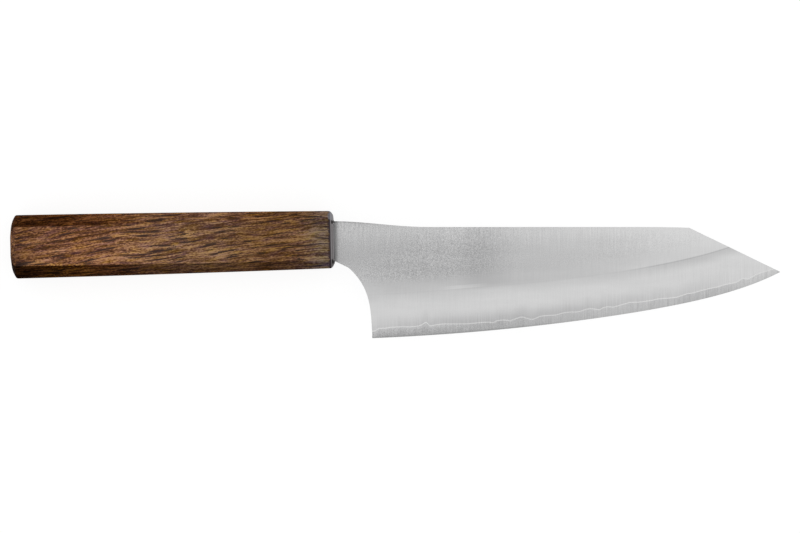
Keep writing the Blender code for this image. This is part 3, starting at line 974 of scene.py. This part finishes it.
fibres, streaks, bands, pores, hues = [
    noise(oak, bent, (length, thickness, thickness), detail)
    for length, thickness, detail in (
        (1.1, 0.4, 1.0), (19.0, 0.52, 2.0), (30.0, 2.8, 1.0), (11.0, 1.0, 1.0), (6.0, 1.0, 1.0),
    )
]

# %% Colours of the oak
PURPLE_OR_GOLD = (-0.4, -0.4, 2.4)
PORE_COLOUR = "392c2a"


def tinted(colour, share, tint):
    """A colour of the oak, with red, green and blue changed by the share times the tint."""
    change = add_node(oak, "VectorMath", {0: share, 1: tint, 2: (1.0, 1.0, 1.0)}, operation="MULTIPLY_ADD")
    return add_node(oak, "VectorMath", {0: colour, 1: change}, operation="MULTIPLY")


toward_butt = add_node(oak, "MapRange", {0: x, 1: -60.0, 2: -105.0}, **SMOOTH)
streak_share = total(oak, [(1.0, 0.9), (toward_butt, -0.15)])
light_or_dark = total(oak, [
    (1.0, 0.518), (toward_butt, -0.01), (fibres, 0.74), (streaks, streak_share), (bands, 0.5),
])
front_wood = add_node(oak, "ValToRGB", {"Fac": light_or_dark}, stops=[
    (0.33, "583a27"), (0.41, "684936"), (0.5, "805e45"), (0.59, "9b7454"), (0.67, "b48d67"),
])
butt_wood = add_node(oak, "ValToRGB", {"Fac": light_or_dark}, stops=[
    (0.33, "4e3021"), (0.41, "66422e"), (0.5, "875b3e"), (0.59, "aa7652"), (0.67, "c49168"),
])
wood = add_node(oak, "Mix", {"Factor": toward_butt, "A": front_wood, "B": butt_wood}, data_type="RGBA")
hue_share = add_node(oak, "MapRange", {0: light_or_dark, 1: 0.35, 2: 0.65, 3: 1.0, 4: 0.45})
wood = tinted(wood, product(oak, hues, hue_share), PURPLE_OR_GOLD)
pore_reach = total(oak, [(1.0, -0.11), (pores, 1.0), (fibres, 0.45), (bands, 0.2)])
pore_mask = add_node(oak, "MapRange", {0: pore_reach, 1: 0.0, 2: 0.04, 4: 0.9}, **SMOOTH)
wood = add_node(oak, "Mix", {"Factor": pore_mask, "A": wood, "B": linear(PORE_COLOUR)}, data_type="RGBA")

# %% [markdown]
# ## Facets and ends
#
# The slanting facets are darker and deeper in colour than the sides, most of all near the butt: partly the
# wood's own colour and partly painted shade, where the facets turn away from the light. Each face of the mesh
# is marked as an upper facet, a lower facet or neither, so that the shader can tell them, also round the two
# domes. Near the butt the lower arris and the facet below it are worn in golden specks. Toward the front the
# wood turns greyer and ends in a ragged dark line, where the end grain has drunk the stain. Then comes a paler
# rim with a painted highlight where the rounded end catches the light, paler still on the upper facet, and
# with painted shade on the lower facet. A black patch lies on the rim at either corner of the neck.

# %% Mark the faces that look up or down at a slant
LEAST_SLANT = 0.35
LEAST_SIDEWAYS, MOST_SIDEWAYS = 0.25, 0.75
on_facet_marks = handle.data.attributes.new("on_facet", "FLOAT", "FACE")
for face in handle.data.polygons:
    up, out = face.normal.y, abs(face.normal.z)
    sideways = out / max(abs(up) + out, SAME_PLACE)
    if LEAST_SIDEWAYS < sideways < MOST_SIDEWAYS and abs(up) + out > LEAST_SLANT:
        on_facet_marks.data[face.index].value = math.copysign(1.0, up)

# %% Shade of the facets
FACET_SHADE_TINT = "ffebc2"
on_facet = add_node(oak, "Attribute", out="Fac", attribute_name="on_facet")
is_facet = add_node(oak, "Math", {0: on_facet}, operation="ABSOLUTE")
zone = {}
for name, step in {
    "upper_butt": (x, -128.0, -50.0, 0.25, 1.02),
    "upper_front": (x, -34.0, -22.0, 1.05, 0.66),
    "upper_rim": (x, -18.0, -10.0, 1.0, 1.45),
    "lower_butt": (x, -130.0, -65.0, 0.1, 0.44),
    "lower_rim": (x, -16.0, -6.0, 1.0, 1.25),
    "side_butt": (x, -134.0, -112.0, 0.72, 1.0),
    "side_front": (x, -66.0, -28.0, 1.0, 0.76),
    "facet_tint_zone": (x, -70.0, -112.0),
}.items():
    zone[name] = add_node(oak, "MapRange", dict(enumerate(step)), **SMOOTH)
# Painted shade: the facets are darkened and deepened in colour, most near the butt, partly as the wood's own
# colour and partly as if they faced away from the light.
facet_shade = add_node(oak, "Mix", {
    "Factor": add_node(oak, "MapRange", {0: on_facet, 1: -1.0, 2: 1.0}),
    "A": product(oak, zone["lower_butt"], zone["lower_rim"]),
    "B": product(oak, zone["upper_butt"], zone["upper_front"], zone["upper_rim"]),
})
side_shade = product(oak, zone["side_butt"], zone["side_front"])
face_shade = add_node(oak, "Mix", {"Factor": is_facet, "A": side_shade, "B": facet_shade})
wood = add_node(oak, "Gamma", {"Color": wood, "Gamma": total(oak, [(1.0, 1.0), (is_facet, 0.13)])})
wood = add_node(oak, "Mix", {
    "Factor": product(oak, is_facet, zone["facet_tint_zone"]), "A": wood, "B": linear(FACET_SHADE_TINT),
}, data_type="RGBA", blend_type="MULTIPLY")

# %% Darkening and wear toward the two ends
for name, step in {
    "butt_end": (x, -133.6, -131.0, 0.9, 1.0),
    "corner_x": (x, -125.0, -133.0),
    "corner_y": (y, 2.0, -6.0),
    "worn_start": (x, -123.0, -118.0),
    "worn_end": (x, -98.0, -104.0),
    "arris": (y, -7.1, -7.9),
    "specks": (fibres, -0.03, 0.05),
    "front_gold": (x, -50.0, -30.0),
    "front_facets": (x, -30.0, -8.0),
    "rubbed": (x, -17.0, -3.0),
}.items():
    zone[name] = add_node(oak, "MapRange", dict(enumerate(step)), **SMOOTH)
dark_corner = product(oak, zone["corner_x"], zone["corner_y"])
shade = product(oak, face_shade, zone["butt_end"], total(oak, [(1.0, 1.0), (dark_corner, -0.45)]))
wood = add_node(oak, "VectorMath", {0: wood, "Scale": shade}, operation="SCALE")
worn = product(oak, product(oak, zone["arris"], zone["worn_start"], zone["worn_end"]), zone["specks"])
on_lower = add_node(oak, "MapRange", {0: on_facet, 1: 0.0, 2: -1.0})
for share, tint in (
    (worn, (0.3, 0.4, -0.2)), (zone["front_gold"], (0.0, -0.06, -0.2)), (zone["rubbed"], (-0.2, 0.06, 0.6)),
    (product(oak, zone["front_facets"], on_lower), (0.1, 0.25, 0.75)),
):
    wood = tinted(wood, share, tint)

# %% The dark line and the rim at the front
RIM_MM = 2.4
UPPER_RIM_HIGHLIGHT = "a4a6ae"
# Painted light: the pale band of the rim is a painted highlight where the rounded end catches the light, the
# darker step in front of it is painted shade, the upper facet's rim is mixed toward a paler painted highlight,
# and the lower facet's rim is darkened as painted shade. The grey of the rim is partly the end grain's own
# colour.
rim = add_node(oak, "ValToRGB", {
    "Fac": add_node(oak, "MapRange", {0: x, 1: -RIM_MM, 2: 0.0}),
}, stops=[
    (0.45, "3d3538"), (0.6, "8e8a8b"), (0.66, "8e8a8b"), (0.74, "777374"), (0.86, "7c7879"), (0.95, "9a9697"),
])
rim = add_node(oak, "Mix", {
    "Factor": add_node(oak, "MapRange", {0: on_facet, 1: 0.0, 2: 1.0, 4: 0.35}),
    "A": rim, "B": linear(UPPER_RIM_HIGHLIGHT),
}, data_type="RGBA")
rim = add_node(oak, "VectorMath", {
    0: rim, "Scale": add_node(oak, "MapRange", {0: on_facet, 1: -1.0, 2: 0.0, 3: 0.65, 4: 1.0}),
}, operation="SCALE")
ragged_x = total(oak, [(x, 1.0), (fibres, 3.0)])
on_rim = add_node(oak, "MapRange", {0: ragged_x, 1: -2.25, 2: -1.75}, **SMOOTH)
wood = add_node(oak, "Mix", {"Factor": on_rim, "A": wood, "B": rim}, data_type="RGBA")

# %% Black patches on the rim at both corners of the neck
BLACK_GLUE = "1b1918"
PATCH_X_MM, PATCH_HALF_MM = -0.42, 0.36
patch_side = add_node(oak, "MapRange", {0: z, 1: 0.0, 2: 2.0}, **SMOOTH)
for corner_y, half_length in ((7.2, 0.8), (-9.2, 1.0)):
    offset = add_node(oak, "VectorMath", {0: place, 1: (PATCH_X_MM, corner_y, 0.0)}, operation="SUBTRACT")
    offset = add_node(oak, "VectorMath", {
        0: offset, 1: (1.0 / PATCH_HALF_MM, 1.0 / half_length, 0.0),
    }, operation="MULTIPLY")
    black_patch = add_node(oak, "MapRange", {
        0: add_node(oak, "VectorMath", {0: offset}, operation="LENGTH"), 1: 1.2, 2: 0.8,
    }, **SMOOTH)
    wood = add_node(oak, "Mix", {
        "Factor": product(oak, black_patch, patch_side), "A": wood, "B": linear(BLACK_GLUE),
    }, data_type="RGBA")

# %% Shader of the oak
PORE_DEPTH = 0.00012
relief = total(oak, [(fibres, 0.5), (streaks, 0.5), (pore_mask, -1.0)])
shader = add_node(oak, "BsdfPrincipled", {
    "Base Color": wood,
    "Roughness": total(oak, [(1.0, 0.6), (pore_mask, 0.2)]),
    "Specular IOR Level": 0.005,
    "Normal": add_node(oak, "Bump", {"Height": relief, "Strength": 0.6, "Distance": PORE_DEPTH}),
})
add_node(oak, "OutputMaterial", {"Surface": shader})
finish_piece(handle, "octagonal_handle", oak, "handle")

# %% [markdown]
# ## The filling
#
# Black epoxy fills the slot round the tang. Its front has bevelled edges and lies a tenth of a millimetre
# inside the handle, and a small bead was squeezed out at each corner of the neck. The beads are stretched
# spheres that are joined to the filling.

# %% Filling
BOND_GAP = 0.0003
FILLING_DEPTH = 0.0001
FILLING_BEVEL = 0.0002
filling = tang_bar(SLOT_ROOM - BOND_GAP, FILLING_DEPTH, SLOT_DEPTH - BOND_GAP)
open_piece(filling)
pick("EDGE", lambda edge: all(vert.co.x > -2.0 * FILLING_DEPTH for vert in edge.verts))
bpy.ops.mesh.bevel(offset=FILLING_BEVEL, segments=2, affect="EDGES")
bpy.ops.object.mode_set(mode="OBJECT")
cut_away(filling, tang_bar(BOND_GAP, -CUTTER_PROUD, TANG_LENGTH + BOND_GAP))
set_on_axis(filling)

# %% Two beads that were squeezed out at the corners of the neck
BEAD_HALF_DEPTH, BEAD_HALF_WIDTH = 0.0003, 0.0016
beads = []
for height, half_length in ((0.0023, 0.0008), (-0.0145, 0.0009)):
    bpy.ops.mesh.primitive_uv_sphere_add(segments=16, ring_count=12, radius=1.0)
    beads.append(bpy.context.object)
    bpy.ops.transform.resize(value=(BEAD_HALF_DEPTH, half_length, BEAD_HALF_WIDTH))
    lean = math.sin(HANDLE_TILT) * (height + HANDLE_DROP)
    bpy.ops.transform.translate(value=ORIGIN + Vector((-lean, height, 0.0)))
    bpy.ops.object.transform_apply(location=True, rotation=True, scale=True)
select_alone(filling)
bpy.ops.object.transform_apply(location=True, rotation=True, scale=True)
for bead in beads:
    bead.select_set(True)
bpy.ops.object.join()

# %% Epoxy
BEADS_SMOOTH_BELOW = math.radians(40.0)
epoxy = new_material("black_epoxy")
shader = add_node(epoxy, "BsdfPrincipled", {"Base Color": linear(BLACK_GLUE), "Roughness": 0.3})
add_node(epoxy, "OutputMaterial", {"Surface": shader})
finish_piece(filling, "slot_filling", epoxy, "tang_resin", BEADS_SMOOTH_BELOW)

# %% [markdown]
# ## Floor and light
#
# The knife lies on a white light table in a white studio: the light comes from all round, most of it from
# above, and the table glows a little, which swallows the shadows.

# %% Floor
FLOOR_SIZE, FLOOR_HEIGHT = 12.0, -0.0002
bpy.ops.mesh.primitive_plane_add(size=FLOOR_SIZE, location=(0.0, 0.0, FLOOR_HEIGHT))
floor = bpy.context.object
floor.name = "light_table"
table_top = new_material("white_light_table")
shader = add_node(table_top, "BsdfPrincipled", {
    "Base Color": linear("7a7a7a"), "Roughness": 0.9,
    "Emission Color": (1.0, 1.0, 1.0, 1.0), "Emission Strength": 0.86,
})
add_node(table_top, "OutputMaterial", {"Surface": shader})
floor.data.materials.append(table_top)

# %% Light
LIGHT_AT_HORIZON, LIGHT_ABOVE = 0.6, 1.08
FULL_FROM_HEIGHT = 0.6
studio = bpy.data.worlds.new("studio")
studio.use_nodes = True
studio.node_tree.nodes.clear()
direction = add_node(studio, "TexCoord", out="Generated")
height = add_node(studio, "SeparateXYZ", {"Vector": direction}, out="Z")
glow = add_node(studio, "MapRange", {
    0: height, 1: 0.0, 2: FULL_FROM_HEIGHT, 3: LIGHT_AT_HORIZON, 4: LIGHT_ABOVE,
}, **SMOOTH)
background = add_node(studio, "Background", {"Strength": glow})
add_node(studio, "OutputWorld", {"Surface": background})
bpy.context.scene.world = studio
bpy.context.scene.view_settings.view_transform = "Standard"
